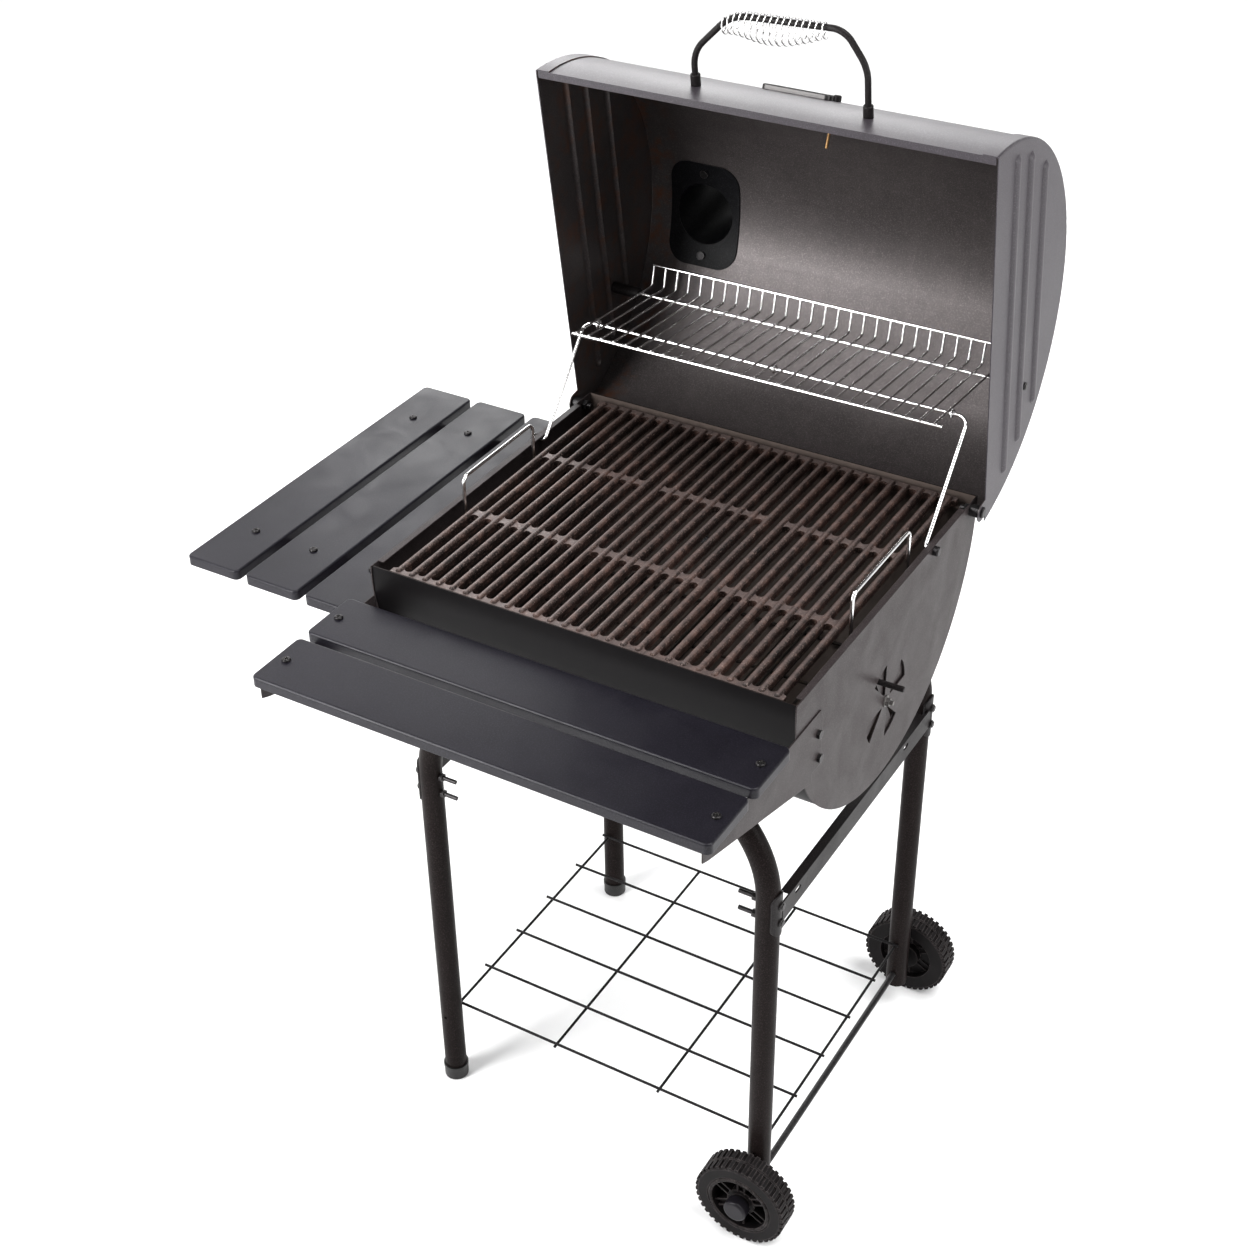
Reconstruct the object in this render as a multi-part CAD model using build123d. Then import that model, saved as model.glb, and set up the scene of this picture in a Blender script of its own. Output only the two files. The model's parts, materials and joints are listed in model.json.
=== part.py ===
from build123d import *
import math
import os

os.makedirs("parts", exist_ok=True)

# Barrel charcoal grill on a two-frame stand. Millimetres, +Z up.
# Working frame: X along the barrel (0 = mid-length), Y to the back (0 = barrel axis), Z up from the ground.
# Everything is shifted at the end so the origin is the bottom centre of the bounding box.

# ---- driving dimensions -------------------------------------------------------------------------------
AXIS_Z = 904.0            # height of the barrel's axis
BOWL_R = 264.5            # outside radius of the bowl
SHEET = 1.5               # bowl, shelf and bracket sheet
BOWL_END = 298.0          # outside face of the bowl's end plates
BOWL_RIM = 918.0          # height of the bowl's rim
LID_R = 267.0             # outside radius of the lid
LID_T = 1.4               # lid sheet
LID_END = 313.5           # outside face of the lid's end plates
LID_EDGE = 919.5          # straight lower edge of the closed lid
LID_BACK_EDGE = 932.0     # rear edge of the closed lid's shell, clear of the bowl as it swings
CAP_LAP = 20.0            # the end caps' flange over the shell
HINGE = (244.0, 908.0)    # lid hinge (y, z)
LID_OPEN = 81.3           # the lid stands open by this angle

RACK_PIVOT = (358.0, 1041.0)   # rack to lid, lid open (y, z)
ARM_TOP = (236.0, 1045.0)      # rack to swing bail, lid open
ARM_FOOT = (122.0, 912.0)      # swing bail to bowl
RACK_FRONT = (181.0, 1048.0)   # front cross wire of the rack
ARM_X = 285.5                  # the swing bail's arms

TUBE_R = 16.0
TUBE_T = 1.5
LEG_X = 256.0
FRAME_Y = 234.0
LEG_TOP = 749.0           # centre of the frames' top run, which carries the bowl
LEG_BEND = 165.0
RIGHT_LEG_END = 43.0

GRATE_Z = 916.0
GRATE_W = 183.6
GRATE_PITCH = 20.44
GRATE_BARS = 9
GRATE_Y = 256.0
COAL_Z = 703.0
BAIL_X = 279.2
BAIL_Y = 83.0
BAIL_Z = 958.0

FRONT_SHELF_Z = 887.0
FRONT_SLATS = ((-386.0, -299.0), (-492.0, -399.0))
FRONT_SHELF_X = 310.0
FRONT_SCREW_X = 292.5
LEFT_SHELF_Z = 850.0
LEFT_SLATS = ((-401.0, -315.0), (-499.0, -413.0), (-597.0, -511.0))
LEFT_SHELF_Y = (-282.0, 268.0)
LEFT_BRACKET_Y = (-189.0, 176.0)

SHELF_WIRE_Z = 128.0
WHEEL_R = 67.5
WHEEL_W = 38.0
WHEEL_YS = (-274.0, 284.0)   # middle of the front and the rear wheel
AXLE_R = 4.75
AXLE_Z = WHEEL_R
DAMPER = (-2.0, 755.0)    # centre of the air damper (y, z)
DAMPER_SLOT = 37.5        # each air opening's angle
DAMPER_TILT = 22.5        # first opening's centre, from +Y towards +Z
STACK_X = -222.0
STACK_Y = 57.0            # with the lid closed
STACK_R = 45.0
STACK_RISE = 165.0

# ---- helpers ------------------------------------------------------------------------------------------


def box(x0, x1, y0, y1, z0, z1):
    return Pos((x0 + x1) / 2, (y0 + y1) / 2, (z0 + z1) / 2) * Box(abs(x1 - x0), abs(y1 - y0), abs(z1 - z0))


def rod(p, q, r):
    """Round bar from p to q."""
    p = Vector(*p)
    q = Vector(*q)
    plane = Plane(origin=p, z_dir=(q - p).normalized())
    return plane * Cylinder(r, (q - p).length, align=(Align.CENTER, Align.CENTER, Align.MIN))


def rod_x(r, x0, x1, y, z):
    return rod((x0, y, z), (x1, y, z), r)


def capsule(p, q, r):
    return rod(p, q, r) + Pos(*p) * Sphere(r) + Pos(*q) * Sphere(r)


def bent_path(points, radii):
    """Straight runs joined by arcs; radii has one value per inner corner."""
    pts = [Vector(*p) for p in points]
    edges = []
    start = pts[0]
    for i in range(1, len(pts) - 1):
        a = (pts[i - 1] - pts[i]).normalized()
        b = (pts[i + 1] - pts[i]).normalized()
        half = math.acos(max(-1.0, min(1.0, a.dot(b)))) / 2
        back = radii[i - 1] / math.tan(half)
        into = (a + b).normalized()
        middle = pts[i] + into * (radii[i - 1] / math.sin(half) - radii[i - 1])
        edges.append(Edge.make_line(start, pts[i] + a * back))
        edges.append(Edge.make_three_point_arc(pts[i] + a * back, middle, pts[i] + b * back))
        start = pts[i] + b * back
    edges.append(Edge.make_line(start, pts[-1]))
    return Wire(edges)


def bent_wire(points, radii, r):
    path = bent_path(points, radii)
    return sweep(Plane(origin=path @ 0, z_dir=path % 0) * Circle(r), path=path)


def fuse(parts):
    return Part() + parts


def hex_prism(af, h, plane):
    return plane * extrude(RegularPolygon(af / 2, 6, major_radius=False), h)


def along(origin, direction):
    return Plane(origin=Vector(*origin), z_dir=Vector(*direction))


def arc_sheet(r_out, t, x0, x1):
    """Full tube about the barrel axis, from x0 to x1."""
    plane = Plane(origin=(x0, 0, AXIS_Z), x_dir=(0, 1, 0), z_dir=(1, 0, 0))
    return plane * extrude(Circle(r_out) - Circle(r_out - t), x1 - x0)


def disc_x(r, x0, x1, y=0.0, z=AXIS_Z):
    plane = Plane(origin=(x0, y, z), x_dir=(0, 1, 0), z_dir=(1, 0, 0))
    return plane * extrude(Circle(r), x1 - x0)


def plate_x(points, x0, x1):
    """Flat plate across X with the outline (y, z)."""
    plane = Plane(origin=(x0, 0, 0), x_dir=(0, 1, 0), z_dir=(1, 0, 0))
    return plane * extrude(make_face(Polyline(*points, close=True)), x1 - x0)


def plate_y(points, y0, y1):
    """Flat plate across Y with the outline (x, z)."""
    plane = Plane(origin=(0, y1, 0), x_dir=(1, 0, 0), z_dir=(0, -1, 0))
    return plane * extrude(make_face(Polyline(*points, close=True)), y1 - y0)


def mirrored(shape):
    return mirror(shape, about=Plane.YZ)


BIG = 900.0

# ---- leg frames ---------------------------------------------------------------------------------------
CAP_FLOOR = 3.0
BOLT_ZS = (580.0, 552.0)
BOLT_R = 3.0
BOLT_HOLE_R = 3.1
MOUNT_X = 84.0
SHELF_HOLE_R = 2.4


def mount_direction(side):
    """Unit vector (y, z) from the barrel axis to the frame's top run."""
    dy = side * FRAME_Y
    dz = LEG_TOP - AXIS_Z
    length = math.hypot(dy, dz)
    return dy / length, dz / length, length


def leg_frame(side):
    y = side * FRAME_Y
    path = bent_path(
        [(-LEG_X, y, CAP_FLOOR), (-LEG_X, y, LEG_TOP), (LEG_X, y, LEG_TOP), (LEG_X, y, RIGHT_LEG_END)],
        [LEG_BEND, LEG_BEND],
    )
    section = Plane(origin=path @ 0, z_dir=path % 0)
    tube = sweep(section * (Circle(TUBE_R) - Circle(TUBE_R - TUBE_T)), path=path)
    cuts = []
    for z in BOLT_ZS:
        cuts += [rod_x(BOLT_HOLE_R, s * (LEG_X - 30), s * (LEG_X + 30), y, z) for s in (-1, 1)]
    for s in (-1, 1):
        cuts.append(rod((s * LEG_X, y - 30, SHELF_WIRE_Z), (s * LEG_X, y + 30, SHELF_WIRE_Z), SHELF_HOLE_R))
    cuts.append(rod((LEG_X, y - 30, AXLE_Z), (LEG_X, y + 30, AXLE_Z), AXLE_R + 0.1))
    uy, uz, length = mount_direction(side)
    for x in (-MOUNT_X, MOUNT_X):
        inner = (x, uy * (length - 30), AXIS_Z + uz * (length - 30))
        outer = (x, uy * (length + 30), AXIS_Z + uz * (length + 30))
        cuts.append(rod(inner, outer, BOLT_HOLE_R))
    return tube - cuts


def leg_cap(y):
    outer = Pos(-LEG_X, y, 0) * Cylinder(17.7, 24, align=(Align.CENTER, Align.CENTER, Align.MIN))
    band = Pos(-LEG_X, y, 18) * Cylinder(18.4, 6, align=(Align.CENTER, Align.CENTER, Align.MIN))
    shape = outer + band
    shape = fillet(shape.edges().filter_by(GeomType.CIRCLE).group_by(Axis.Z)[0], 2)
    return shape - Pos(-LEG_X, y, CAP_FLOOR - 0.1) * Cylinder(
        TUBE_R + 0.05, 30, align=(Align.CENTER, Align.CENTER, Align.MIN)
    )


# ---- side bars ----------------------------------------------------------------------------------------
BAR_Z = 566.0
BAR_H = 32.0
BAR_T = 2.0
SADDLE_H = 70.0
SADDLE_W = 26.0
BAR_SLOTS = ((-187.0, 572.0), (145.0, 572.0))


def side_bar():
    """The right-hand bar; the left one is its mirror image."""
    web_x = LEG_X + TUBE_R + 0.1
    reach = FRAME_Y - 5
    top = BAR_Z + BAR_H / 2
    web = box(web_x, web_x + BAR_T, -reach, reach, BAR_Z - BAR_H / 2, top)
    flange = box(web_x - 11, web_x + BAR_T, -FRAME_Y + 24, FRAME_Y - 24, top - BAR_T, top)
    pieces = [web, flange]
    cuts = []
    for y in (-FRAME_Y, FRAME_Y):
        ring = Cylinder(TUBE_R + 0.1 + BAR_T, SADDLE_H + 10) - Cylinder(TUBE_R + 0.1, SADDLE_H + 12)
        oval = Plane(origin=(LEG_X + 2, y, BAR_Z), x_dir=(0, 1, 0), z_dir=(1, 0, 0)) * extrude(
            SlotOverall(SADDLE_H, SADDLE_W, rotation=90), 40
        )
        pieces.append((Pos(LEG_X, y, BAR_Z) * ring) & oval)
        cuts += [rod_x(BOLT_HOLE_R, LEG_X, LEG_X + 40, y, z) for z in BOLT_ZS]
    for y, z in BAR_SLOTS:
        slot = Plane(origin=(LEG_X, y, z), x_dir=(0, 1, 0), z_dir=(1, 0, 0)) * extrude(SlotOverall(16, 6.5), 40)
        cuts.append(slot)
    return fuse(pieces) - cuts


def frame_bolt(side, y, z):
    """Bolt through the leg from the outside, its threaded end standing proud inside."""
    head_x = side * (LEG_X + TUBE_R + 0.1 + BAR_T)
    tail = side * (LEG_X - 41)
    nut_x = side * (LEG_X - TUBE_R - 0.05)
    bolt = rod_x(BOLT_R, head_x, tail, y, z)
    head = rod_x(6.0, head_x, head_x + side * 2.2, y, z)
    dome = rod_x(4.4, head_x + side * 2.2, head_x + side * 3.8, y, z)
    nut = hex_prism(10, 5, along((nut_x, y, z), (-side, 0, 0)))
    return fuse([bolt, head, dome, nut])


# ---- bottom wire shelf --------------------------------------------------------------------------------
SHELF_R = 2.0
SHELF_YS = (-215.0, -131.0, -43.6, 43.6, 131.0, 215.0)
SHELF_XS = (-86.0, 86.0)
SHELF_ENDS = (-265.0, 262.0)


def bottom_shelf():
    wires = []
    for x in SHELF_XS:
        wires.append(rod((x, SHELF_YS[0] - 3.5, SHELF_WIRE_Z), (x, SHELF_YS[-1] + 3.5, SHELF_WIRE_Z), SHELF_R))
    for x in (-LEG_X, LEG_X):
        wires.append(rod((x, -FRAME_Y - 4, SHELF_WIRE_Z), (x, FRAME_Y + 4, SHELF_WIRE_Z), SHELF_R))
    for y in SHELF_YS:
        x0, x1 = SHELF_ENDS
        wires.append(rod((x0, y, SHELF_WIRE_Z + 3.6), (x1, y, SHELF_WIRE_Z + 3.6), SHELF_R))
    return fuse(wires)


# ---- wheels -------------------------------------------------------------------------------------------
LUGS = 40
TREAD_R = 64.2
RIM_R = 45.0
HUB_R = 21.0
CAP_R = 17.0


def wheel(y):
    """Moulded wheel about the axle, its outer face away from the stand."""
    side = math.copysign(1, y)
    inner = y - side * WHEEL_W / 2
    plane = Plane(origin=(LEG_X, inner, AXLE_Z), x_dir=(1, 0, 0), z_dir=(0, side, 0))
    lug = Pos(WHEEL_R - 3, 0) * Rectangle(6, 5.6)
    row_w = WHEEL_W / 2 - 2.0

    def row(turn):
        lugs = [Rot(0, 0, turn + i * 360 / LUGS) * lug for i in range(LUGS)]
        return (Sketch() + lugs) & Circle(WHEEL_R)

    tread = extrude(Circle(TREAD_R) - Circle(RIM_R - 3.5), WHEEL_W)
    tread = chamfer(tread.edges().filter_by(GeomType.CIRCLE).sort_by(SortBy.RADIUS)[-2:], 1.8)
    ridge = Pos(0, 0, WHEEL_W / 2 - 2.2) * extrude(Circle(WHEEL_R - 0.9) - Circle(TREAD_R - 1), 4.4)
    rows = Pos(0, 0, 1.0) * extrude(row(0) - Circle(TREAD_R - 1), row_w)
    rows += Pos(0, 0, WHEEL_W - 1.0 - row_w) * extrude(row(180 / LUGS) - Circle(TREAD_R - 1), row_w)
    bead = Pos(0, 0, WHEEL_W - 0.1) * extrude(Circle(RIM_R + 0.6) - Circle(RIM_R - 2.2), 1.3)
    groove = Pos(0, 0, WHEEL_W - 1.2) * extrude(Circle(RIM_R + 3.2) - Circle(RIM_R + 1.6), 3)
    web = Pos(0, 0, 12) * extrude(Circle(RIM_R - 3) - Circle(10), 4)
    hub = extrude(Circle(HUB_R) - Circle(10), WHEEL_W - 7)
    hub += extrude(Circle(14), WHEEL_W - 1)
    spokes = []
    for i in range(6):
        turn = Rot(0, 0, 30 + i * 60)
        spokes.append(turn * Pos(31, 5.2, 21) * Box(26, 2.4, 22))
        spokes.append(turn * Pos(31, -5.2, 21) * Box(26, 2.4, 22))
        spokes.append(turn * Pos(31, 0, 19) * Box(26, 10, 14))
    body = fuse([tread, ridge, rows, bead, web, hub] + spokes)
    body = body - groove - Pos(0, 0, -1) * extrude(Circle(AXLE_R + 0.05), WHEEL_W + 4)
    return plane * body


def hub_cap(y):
    side = math.copysign(1, y)
    outer = y + side * WHEEL_W / 2
    plane = Plane(origin=(LEG_X, outer - side * 0.7, AXLE_Z), x_dir=(1, 0, 0), z_dir=(0, side, 0))
    cap = extrude(Circle(CAP_R), 15)
    cap = fillet(cap.edges().group_by(Axis.Z)[-1], 4)
    return plane * (cap - Pos(0, 0, -0.1) * extrude(Circle(AXLE_R + 0.05), 8))


def axle():
    past = WHEEL_W / 2 + 6
    front, rear = WHEEL_YS
    return rod((LEG_X, front - past, AXLE_Z), (LEG_X, rear + past, AXLE_Z), AXLE_R)


# ---- bowl ---------------------------------------------------------------------------------------------
LEDGE_TOP = GRATE_Z - 12.3
RIM_FLANGE = 9.0
END_R = 266.0


def bowl_mount_holes():
    cuts = []
    for side in (-1, 1):
        uy, uz, length = mount_direction(side)
        for x in (-MOUNT_X, MOUNT_X):
            cuts.append(rod((x, uy * 240, AXIS_Z + uz * 240), (x, uy * 275, AXIS_Z + uz * 275), BOLT_HOLE_R))
    return cuts


def bowl_shell():
    x = BOWL_END - SHEET
    tube = arc_sheet(BOWL_R, SHEET, -x, x)
    tube = tube - box(-BIG, BIG, -BIG, BIG, BOWL_RIM, BIG + BOWL_RIM)
    ledges = []
    for s in (-1, 1):
        ledges.append(box(14 - x, x - 14, s * 247, s * (BOWL_R - 1.0), LEDGE_TOP - 2, LEDGE_TOP))
    return tube + ledges - bowl_mount_holes()


def sector(angle, width, r_in, r_out):
    """Air opening: a triangle with an arched outer side, narrow towards the hub."""
    a0 = math.radians(angle - width / 2)
    a1 = math.radians(angle + width / 2)
    am = math.radians(angle)
    tip = 1.4
    p0 = (r_in * math.cos(am) + tip * math.sin(am), r_in * math.sin(am) - tip * math.cos(am))
    p1 = (r_out * math.cos(a0), r_out * math.sin(a0))
    pm = (r_out * math.cos(am), r_out * math.sin(am))
    p2 = (r_out * math.cos(a1), r_out * math.sin(a1))
    p3 = (r_in * math.cos(am) - tip * math.sin(am), r_in * math.sin(am) + tip * math.cos(am))
    outline = [Line(p0, p1), ThreePointArc(p1, pm, p2), Line(p2, p3), Line(p3, p0)]
    return make_face(outline)


def air_openings(x0, x1, turn, width, r_in, r_out):
    plane = Plane(origin=(x0, DAMPER[0], DAMPER[1]), x_dir=(0, 1, 0), z_dir=(1, 0, 0))
    shape = Sketch()
    for i in range(4):
        shape += sector(turn + 90 * i, width, r_in, r_out)
    return plane * extrude(shape, x1 - x0)


def bowl_end(right):
    """The right-hand end plate, or the left one's mirror image."""
    plate = disc_x(END_R, BOWL_END - SHEET, BOWL_END)
    plate = plate - box(0, BIG, -BIG, BIG, BOWL_RIM, BIG + BOWL_RIM)
    flange = box(BOWL_END - RIM_FLANGE, BOWL_END, -250, 224, BOWL_RIM - SHEET, BOWL_RIM)
    shape = plate + flange
    cuts = [
        rod_x(2.55, 280, 320, *ARM_FOOT),
        rod_x(4.1, 280, 320, *HINGE),
    ]
    if right:
        cuts.append(air_openings(280, 310, DAMPER_TILT, DAMPER_SLOT, 13, 58))
        cuts.append(rod_x(BOLT_HOLE_R, 280, 320, *DAMPER))
    for y, z in FRONT_TAB_BOLTS:
        cuts.append(rod_x(BOLT_HOLE_R, 280, 320, y, z))
    if not right:
        for y in LEFT_BRACKET_Y:
            for z in LEFT_TAB_ZS:
                cuts.append(rod_x(BOLT_HOLE_R, 280, 320, y + LEFT_TAB[1], z))
    return shape - cuts


def bowl_mount_bolt(x, side):
    """Bolt from inside the bowl through the frame's top run."""
    uy, uz, length = mount_direction(side)
    inside = BOWL_R - SHEET - 0.15
    outside = length + TUBE_R

    def at(r):
        return (x, uy * r, AXIS_Z + uz * r)

    shank = rod(at(inside), at(outside + 9), BOLT_R)
    head = rod(at(inside - 3.4), at(inside), 6.2)
    nut = hex_prism(10, 5, along(at(outside + 0.05), (0, uy, uz)))
    return fuse([shank, head, nut])


# ---- air damper ---------------------------------------------------------------------------------------
DAMPER_PIN_ANGLE = 117.5
DAMPER_PIN_R = 50.0
DISC_X = BOWL_END - SHEET - 3.2    # the disc's inner face
DISC_T = 1.6


def damper_disc():
    disc = disc_x(64, DISC_X, DISC_X + DISC_T, *DAMPER)
    disc = disc - air_openings(280, 310, DAMPER_TILT + 28, 36, 14, 57)
    return disc - rod_x(BOLT_R + 0.06, 280, 310, *DAMPER)


def damper_handle():
    a = math.radians(DAMPER_PIN_ANGLE)
    y = DAMPER[0] + DAMPER_PIN_R * math.cos(a)
    z = DAMPER[1] + DAMPER_PIN_R * math.sin(a)
    pin = rod_x(3.8, DISC_X + DISC_T + 0.05, BOWL_END + 33, y, z)
    return chamfer(pin.edges().group_by(Axis.X)[-1], 0.8)


def damper_bolt():
    x = BOWL_END
    shank = rod_x(BOLT_R, DISC_X - 2, x + 11, *DAMPER)
    head = rod_x(6.0, DISC_X - 4.3, DISC_X - 0.3, *DAMPER)
    washer = rod_x(8.0, x + 0.05, x + 1.3, *DAMPER)
    nut = hex_prism(10, 5, along((x + 1.3, *DAMPER), (1, 0, 0)))
    return fuse([shank, head, washer, nut])


# ---- shelves ------------------------------------------------------------------------------------------
FRONT_TAB_BOLTS = ((-207.0, 841.0), (-203.0, 803.0))
LEFT_TAB_ZS = (825.0, 785.0)
FRONT_DEPTH = 14.0
LEFT_DEPTH = 14.0
LEFT_TAB = (1.0, 13.0, 25.0)     # the left brackets' tab: edge, bolts, edge, from the screws' line
BRACKET_GAP = 0.1
SCREW_HOLE_R = 2.6
SCREW_R = 2.5


def slat(x0, x1, y0, y1, top, depth, holes):
    """Sheet-steel slat with rolled-down edges, open below."""

    def block(inset, corner, edge):
        h = depth - inset if inset else depth
        base = top - depth - (0.5 if inset else 0)
        outline = Pos((x0 + x1) / 2, (y0 + y1) / 2, base) * RectangleRounded(
            x1 - x0 - 2 * inset, y1 - y0 - 2 * inset, corner
        )
        solid = extrude(outline, h + (0.5 if inset else 0))
        return fillet(solid.faces().sort_by(Axis.Z)[-1].edges(), edge)

    shape = block(0, 8, 2.8) - block(SHEET, 6.5, 1.3)
    for x, y in holes:
        shape = shape - Pos(x, y, top) * Cylinder(SCREW_HOLE_R, 10)
    return shape


def front_screws():
    spots = []
    for y0, y1 in FRONT_SLATS:
        spots += [(-FRONT_SCREW_X, (y0 + y1) / 2, FRONT_SHELF_Z), (FRONT_SCREW_X, (y0 + y1) / 2, FRONT_SHELF_Z)]
    return spots


def left_screws():
    return [((x0 + x1) / 2, y, LEFT_SHELF_Z) for x0, x1 in LEFT_SLATS for y in LEFT_BRACKET_Y]


def pan_screw(x, y, top):
    """Cross-recessed pan head screw standing on the slat."""
    head = Pos(x, y, top + 0.02) * Cylinder(5.6, 3.0, align=(Align.CENTER, Align.CENTER, Align.MIN))
    head = fillet(head.edges().group_by(Axis.Z)[-1], 2.0)
    cross = Pos(x, y, top + 2.6) * (Box(5.6, 1.3, 2.4) + Box(1.3, 5.6, 2.4))
    shank = Pos(x, y, top + 0.1) * Cylinder(SCREW_R, 11, align=(Align.CENTER, Align.CENTER, Align.MAX))
    nut = hex_prism(8, 4, along((x, y, top - 3.15), (0, 0, -1)))
    return fuse([head, shank, nut]) - cross


def front_bracket():
    """Right-hand front shelf bracket, outside the bowl's end plate."""
    x0 = BOWL_END + BRACKET_GAP
    x1 = x0 + SHEET
    sheet_top = FRONT_SHELF_Z - SHEET - BRACKET_GAP
    low_top = FRONT_SHELF_Z - FRONT_DEPTH - 0.3
    outline = [(-220, 776), (-220, 790), (-196, 790), (-196, 860), (-202, low_top)]
    for y0, y1 in FRONT_SLATS:
        outline += [(y1 - 3.4, low_top), (y1 - 3.4, sheet_top), (y0 + 3.4, sheet_top), (y0 + 3.4, low_top)]
    outline[-1] = (outline[-1][0], 856)
    outline += [(-476, 851)]
    shape = plate_x(outline, x0, x1)
    for y0, y1 in FRONT_SLATS:
        strip = box(FRONT_SCREW_X - 9, x1, y0 + 3.4, y1 - 3.4, sheet_top - SHEET, sheet_top)
        shape = shape + strip
        shape = shape - Pos(FRONT_SCREW_X, (y0 + y1) / 2, sheet_top) * Cylinder(SCREW_HOLE_R, 10)
    for y, z in FRONT_TAB_BOLTS:
        shape = shape - rod_x(BOLT_HOLE_R, 280, 320, y, z)
    return shape


def left_bracket(y):
    """Bracket under the left shelf, standing across the bowl's left end plate."""
    face = -(BOWL_END + BRACKET_GAP)
    sheet_top = LEFT_SHELF_Z - SHEET - BRACKET_GAP
    low_top = LEFT_SHELF_Z - LEFT_DEPTH - 0.3
    outline = [(face, 765), (face, low_top)]
    for x0, x1 in LEFT_SLATS:
        outline += [(x1 - 3.4, low_top), (x1 - 3.4, sheet_top), (x0 + 3.4, sheet_top), (x0 + 3.4, low_top)]
    outline[-1] = (outline[-1][0], 830)
    outline += [(-582, 826)]
    back = y + LEFT_TAB[2]
    shape = plate_y(outline, back - SHEET, back)
    shape = shape + box(face - SHEET, face, y + LEFT_TAB[0], back, 765, low_top)
    for x0, x1 in LEFT_SLATS:
        shape = shape + box(x0 + 3.4, x1 - 3.4, y - 8, back, sheet_top - SHEET, sheet_top)
        shape = shape - Pos((x0 + x1) / 2, y, sheet_top) * Cylinder(SCREW_HOLE_R, 10)
    for z in LEFT_TAB_ZS:
        shape = shape - rod_x(BOLT_HOLE_R, -320, -280, y + LEFT_TAB[1], z)
    return shape


def bracket_bolt(side, y, z):
    outer = side * (BOWL_END + BRACKET_GAP + SHEET + 0.05)
    inner = side * (BOWL_END - SHEET - 0.05)
    shank = rod_x(BOLT_R, inner - side * 8, outer + side * 1, y, z)
    head = hex_prism(10, 4, along((outer, y, z), (side, 0, 0)))
    nut = hex_prism(10, 5, along((inner, y, z), (-side, 0, 0)))
    return fuse([shank, head, nut])


# ---- grates -------------------------------------------------------------------------------------------
RAIL = 9.0
SLOT_ROWS = ((RAIL, 164.0), (175.0, 337.0), (347.0, 2 * GRATE_Y - RAIL))
BASE_BAR = 8.0
BAR_TOP_R = 4.5


def cooking_grate(x_mid):
    bottom = GRATE_Z - 12
    plate = box(-GRATE_W / 2, GRATE_W / 2, -GRATE_Y, GRATE_Y, bottom, GRATE_Z - 3.0)
    slot_w = GRATE_PITCH - BASE_BAR
    cuts = Sketch()
    for i in range(GRATE_BARS - 1):
        x = (i - (GRATE_BARS - 2) / 2) * GRATE_PITCH
        for y0, y1 in SLOT_ROWS:
            cuts += Pos(x, (y0 + y1) / 2 - GRATE_Y) * SlotOverall(y1 - y0, slot_w, rotation=90)
    for s in (-1, 1):
        x = s * (GRATE_BARS / 2) * GRATE_PITCH
        cuts += Pos(x, 0) * SlotOverall(2 * (GRATE_Y - RAIL), slot_w, rotation=90)
    plate = plate - Pos(0, 0, bottom - 1) * extrude(cuts, 12)
    reach = GRATE_Y - BAR_TOP_R - 1.5
    z = GRATE_Z - BAR_TOP_R
    bars = []
    for i in range(GRATE_BARS):
        x = (i - (GRATE_BARS - 1) / 2) * GRATE_PITCH
        bars.append(capsule((x, -reach, z), (x, reach, z), BAR_TOP_R))
    return Pos(x_mid, 0, 0) * (plate + bars)


COAL_R = 1.75
COAL_CROSS_R = 2.5
COAL_PITCH = 20.0


def charcoal_grate():
    wires = []
    for i in range(28):
        x = (i - 13.5) * COAL_PITCH
        wires.append(rod((x, -166.2, COAL_Z), (x, 166.2, COAL_Z), COAL_R))
    low = COAL_Z - COAL_R - COAL_CROSS_R + 0.5
    for y in (-155, -52, 52, 155):
        wires.append(rod((-273, y, low), (273, y, low), COAL_CROSS_R))
    return fuse(wires)


def charcoal_bail():
    """Right-hand lifting bail; its feet hook under the grate's outer wires."""
    foot_z = COAL_Z - COAL_R - 2.5 - 0.1
    points = [
        (BAIL_X - 22, -BAIL_Y, foot_z),
        (BAIL_X, -BAIL_Y, foot_z),
        (BAIL_X, -BAIL_Y, BAIL_Z),
        (BAIL_X, BAIL_Y, BAIL_Z),
        (BAIL_X, BAIL_Y, foot_z),
        (BAIL_X - 22, BAIL_Y, foot_z),
    ]
    return bent_wire(points, [6, 10, 10, 6], 2.5)


# ---- warming rack and its swing bail ------------------------------------------------------------------
RACK_R = 1.75
RACK_CROSS_R = 2.5
RACK_PITCH = 19.5
RACK_WIRES = 28
HOOK_DROP = 9.0           # from the long wires down to the swing bail's bar
HOOK_R = 4.9              # middle line of a hook's ring
HOOK_NECK_R = 1.5


def rack_wire_z(y):
    """Centre height of the long wires, which lie on the cross wires."""
    ya, za = RACK_PIVOT[0], RACK_PIVOT[1] + 4.2
    yb, zb = ARM_TOP[0], ARM_TOP[1] + HOOK_DROP
    return za + (y - ya) * (zb - za) / (yb - ya)


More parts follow.
